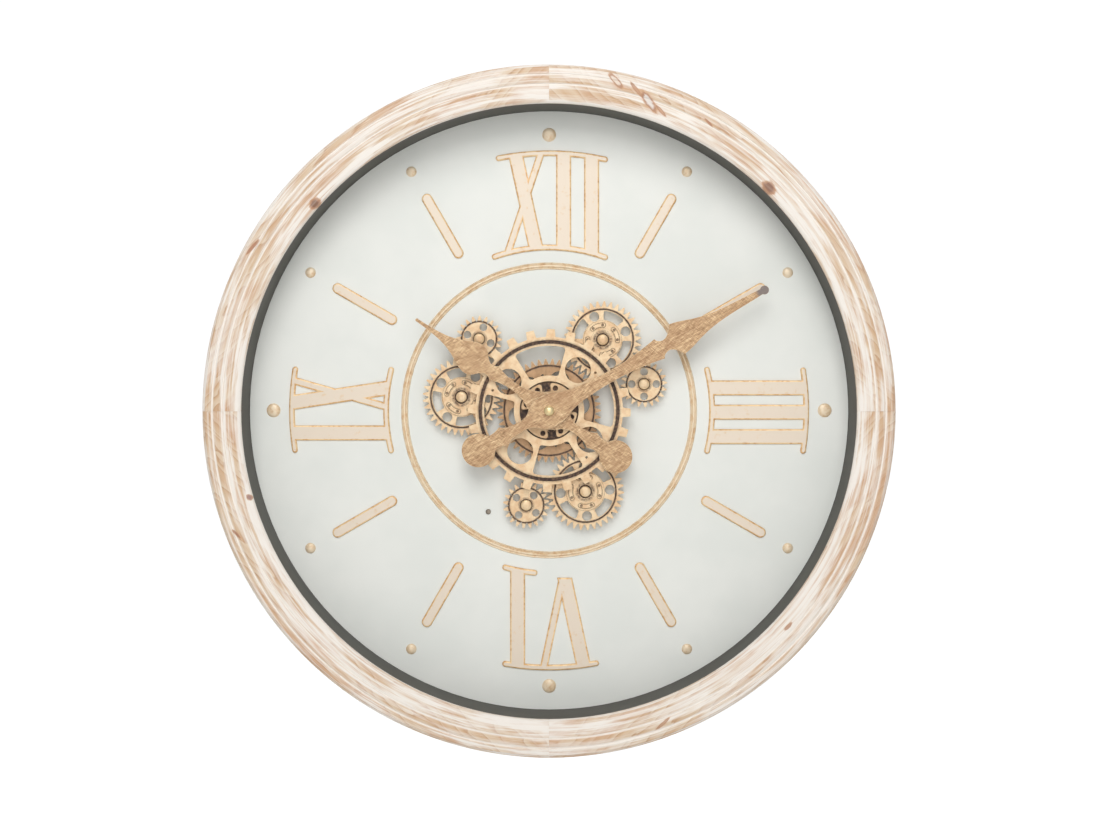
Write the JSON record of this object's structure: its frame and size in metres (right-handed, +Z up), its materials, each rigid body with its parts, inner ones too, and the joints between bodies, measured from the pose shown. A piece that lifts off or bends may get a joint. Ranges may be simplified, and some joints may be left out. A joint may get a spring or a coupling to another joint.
{
  "type": "wall clock",
  "caption": "Round wall clock with a whitewashed wooden rim, an embossed cream Roman dial, two gold hands and turning gold gears in front of the dial.",
  "frame": {"origin": "on the axis of the hands, in the plane of the clock's back, which lies on the wall", "axes": "+X to the right and +Z up for someone who faces the dial, +Y into the wall, so the dial faces -Y"},
  "size_m": [0.6, 0.084, 0.6],
  "materials": {
    "whitewashed_pine": "solid pine with a thin white wash and clear matt wax",
    "beech": "plain turned dowel",
    "grey_lacquered_steel": "dark grey satin lacquer on rolled sheet steel",
    "cream_enamelled_steel": "cream matt enamel on embossed sheet steel, raised edges rubbed with gold",
    "hardboard": "brown smooth hardboard",
    "bronze_lacquered_brass": "brushed sheet with a bronze gold lacquer",
    "bright_brass": "turned brass, lightly polished",
    "antique_gold_metal": "antique gold lacquer with dark brown patina in the low places",
    "black_plastic": "moulded, finely textured",
    "battery_jacket": "printed film on a steel cell, plain colours",
    "white_acetal": "moulded acetal",
    "green_laminate": "glass laminate with green solder mask",
    "copper_winding": "enamelled copper wire on a moulded bobbin",
    "nickel_plated_steel": "nickel plated spring steel",
    "plated_steel": "zinc plated steel"
  },
  "bodies": {
    "case": {"frame_lower_right": "whitewashed_pine", "frame_lower_left": "whitewashed_pine", "frame_upper_left": "whitewashed_pine", "frame_upper_right": "whitewashed_pine", "frame_dowels": "beech", "case_drum": "grey_lacquered_steel", "dial_ring": "grey_lacquered_steel", "dial_plate": "cream_enamelled_steel", "back_board": "hardboard", "back_screws": "plated_steel", "keyhole_plate": "plated_steel", "keyhole_rivets": "plated_steel", "carrier_plate": "plated_steel", "carrier_standoffs": "plated_steel", "carrier_screws": "plated_steel", "movement_case": "black_plastic", "movement_lid": "black_plastic", "movement_battery": "battery_jacket", "gear_battery": "battery_jacket", "battery_contacts": "nickel_plated_steel", "circuit_board": "green_laminate", "stepper_coil": "copper_winding", "threaded_bush": "bright_brass", "bush_washer": "bright_brass", "bush_nut": "bright_brass", "satellite_posts": "plated_steel", "satellite_caps": "bright_brass", "gear_motor_case": "black_plastic", "gear_motor_lid": "black_plastic", "drive_motor": "plated_steel", "switch_box": "black_plastic", "gear_motor_screws": "plated_steel"},
    "minute": {"minute_hand": "bronze_lacquered_brass", "minute_arbor": "plated_steel", "hand_nut": "bright_brass"},
    "hour": {"hour_hand": "bronze_lacquered_brass", "hour_wheel": "white_acetal"},
    "motion": {"minute_wheel": "white_acetal", "set_knob": "white_acetal"},
    "gear_wheel": {"drive_gear": "white_acetal", "drive_tube": "plated_steel", "centre_gear": "antique_gold_metal", "wheel_spacer": "plated_steel", "front_plate_gear": "antique_gold_metal", "petal_disc": "antique_gold_metal", "wheel_collar": "bright_brass"},
    "pinion": {"drive_pinion": "white_acetal"},
    "switch": {"switch_slide": "black_plastic"},
    "large_1": {"large_satellite_1": "antique_gold_metal", "hub_links_1": "antique_gold_metal"},
    "small_1": {"small_satellite_1": "antique_gold_metal"},
    "large_2": {"large_satellite_2": "antique_gold_metal", "hub_links_2": "antique_gold_metal"},
    "small_2": {"small_satellite_2": "antique_gold_metal"},
    "large_3": {"large_satellite_3": "antique_gold_metal", "hub_links_3": "antique_gold_metal"},
    "small_3": {"small_satellite_3": "antique_gold_metal"}
  },
  "joints": [
    {"name": "minute_spin", "type": "hinge", "parent": "case", "child": "minute", "pos_m": [0, 0, 0], "axis": [0, 1, 0], "continuous": true},
    {"name": "hour_spin", "type": "hinge", "parent": "case", "child": "hour", "pos_m": [0, 0, 0], "axis": [0, 1, 0], "continuous": true},
    {"name": "motion_spin", "type": "hinge", "parent": "case", "child": "motion", "pos_m": [-0.00849, 0, 0.00849], "axis": [0, 1, 0], "continuous": true},
    {"name": "wheel_spin", "type": "hinge", "parent": "case", "child": "gear_wheel", "pos_m": [0, 0, 0], "axis": [0, 1, 0], "continuous": true},
    {"name": "pinion_spin", "type": "hinge", "parent": "case", "child": "pinion", "pos_m": [0.042, 0, 0], "axis": [0, 1, 0], "continuous": true},
    {"name": "large_1_spin", "type": "hinge", "parent": "case", "child": "large_1", "pos_m": [0.04729, 0, 0.06253], "axis": [0, 1, 0], "continuous": true},
    {"name": "small_1_spin", "type": "hinge", "parent": "case", "child": "small_1", "pos_m": [0.08393, 0, 0.02338], "axis": [0, 1, 0], "continuous": true},
    {"name": "large_2_spin", "type": "hinge", "parent": "case", "child": "large_2", "pos_m": [-0.07748, 0, 0.01199], "axis": [0, 1, 0], "continuous": true},
    {"name": "small_2_spin", "type": "hinge", "parent": "case", "child": "small_2", "pos_m": [-0.06189, 0, 0.0633], "axis": [0, 1, 0], "continuous": true},
    {"name": "large_3_spin", "type": "hinge", "parent": "case", "child": "large_3", "pos_m": [0.03201, 0, -0.07157], "axis": [0, 1, 0], "continuous": true},
    {"name": "small_3_spin", "type": "hinge", "parent": "case", "child": "small_3", "pos_m": [-0.02021, 0, -0.08372], "axis": [0, 1, 0], "continuous": true},
    {"name": "switch_slide_travel", "type": "slide", "parent": "case", "child": "switch", "axis": [1, 0, 0], "range_m": [0, 0.003]}
  ],
  "couplings": [
    {"joint": "hour_spin", "follows": "minute_spin", "ratio": 0.083333},
    {"joint": "motion_spin", "follows": "minute_spin", "ratio": -0.33333},
    {"joint": "pinion_spin", "follows": "wheel_spin", "ratio": -6},
    {"joint": "large_1_spin", "follows": "wheel_spin", "ratio": -1.3529},
    {"joint": "small_1_spin", "follows": "wheel_spin", "ratio": 2.3},
    {"joint": "large_2_spin", "follows": "wheel_spin", "ratio": -1.3529},
    {"joint": "small_2_spin", "follows": "wheel_spin", "ratio": 2.3},
    {"joint": "large_3_spin", "follows": "wheel_spin", "ratio": -1.3529},
    {"joint": "small_3_spin", "follows": "wheel_spin", "ratio": 2.3}
  ]
}
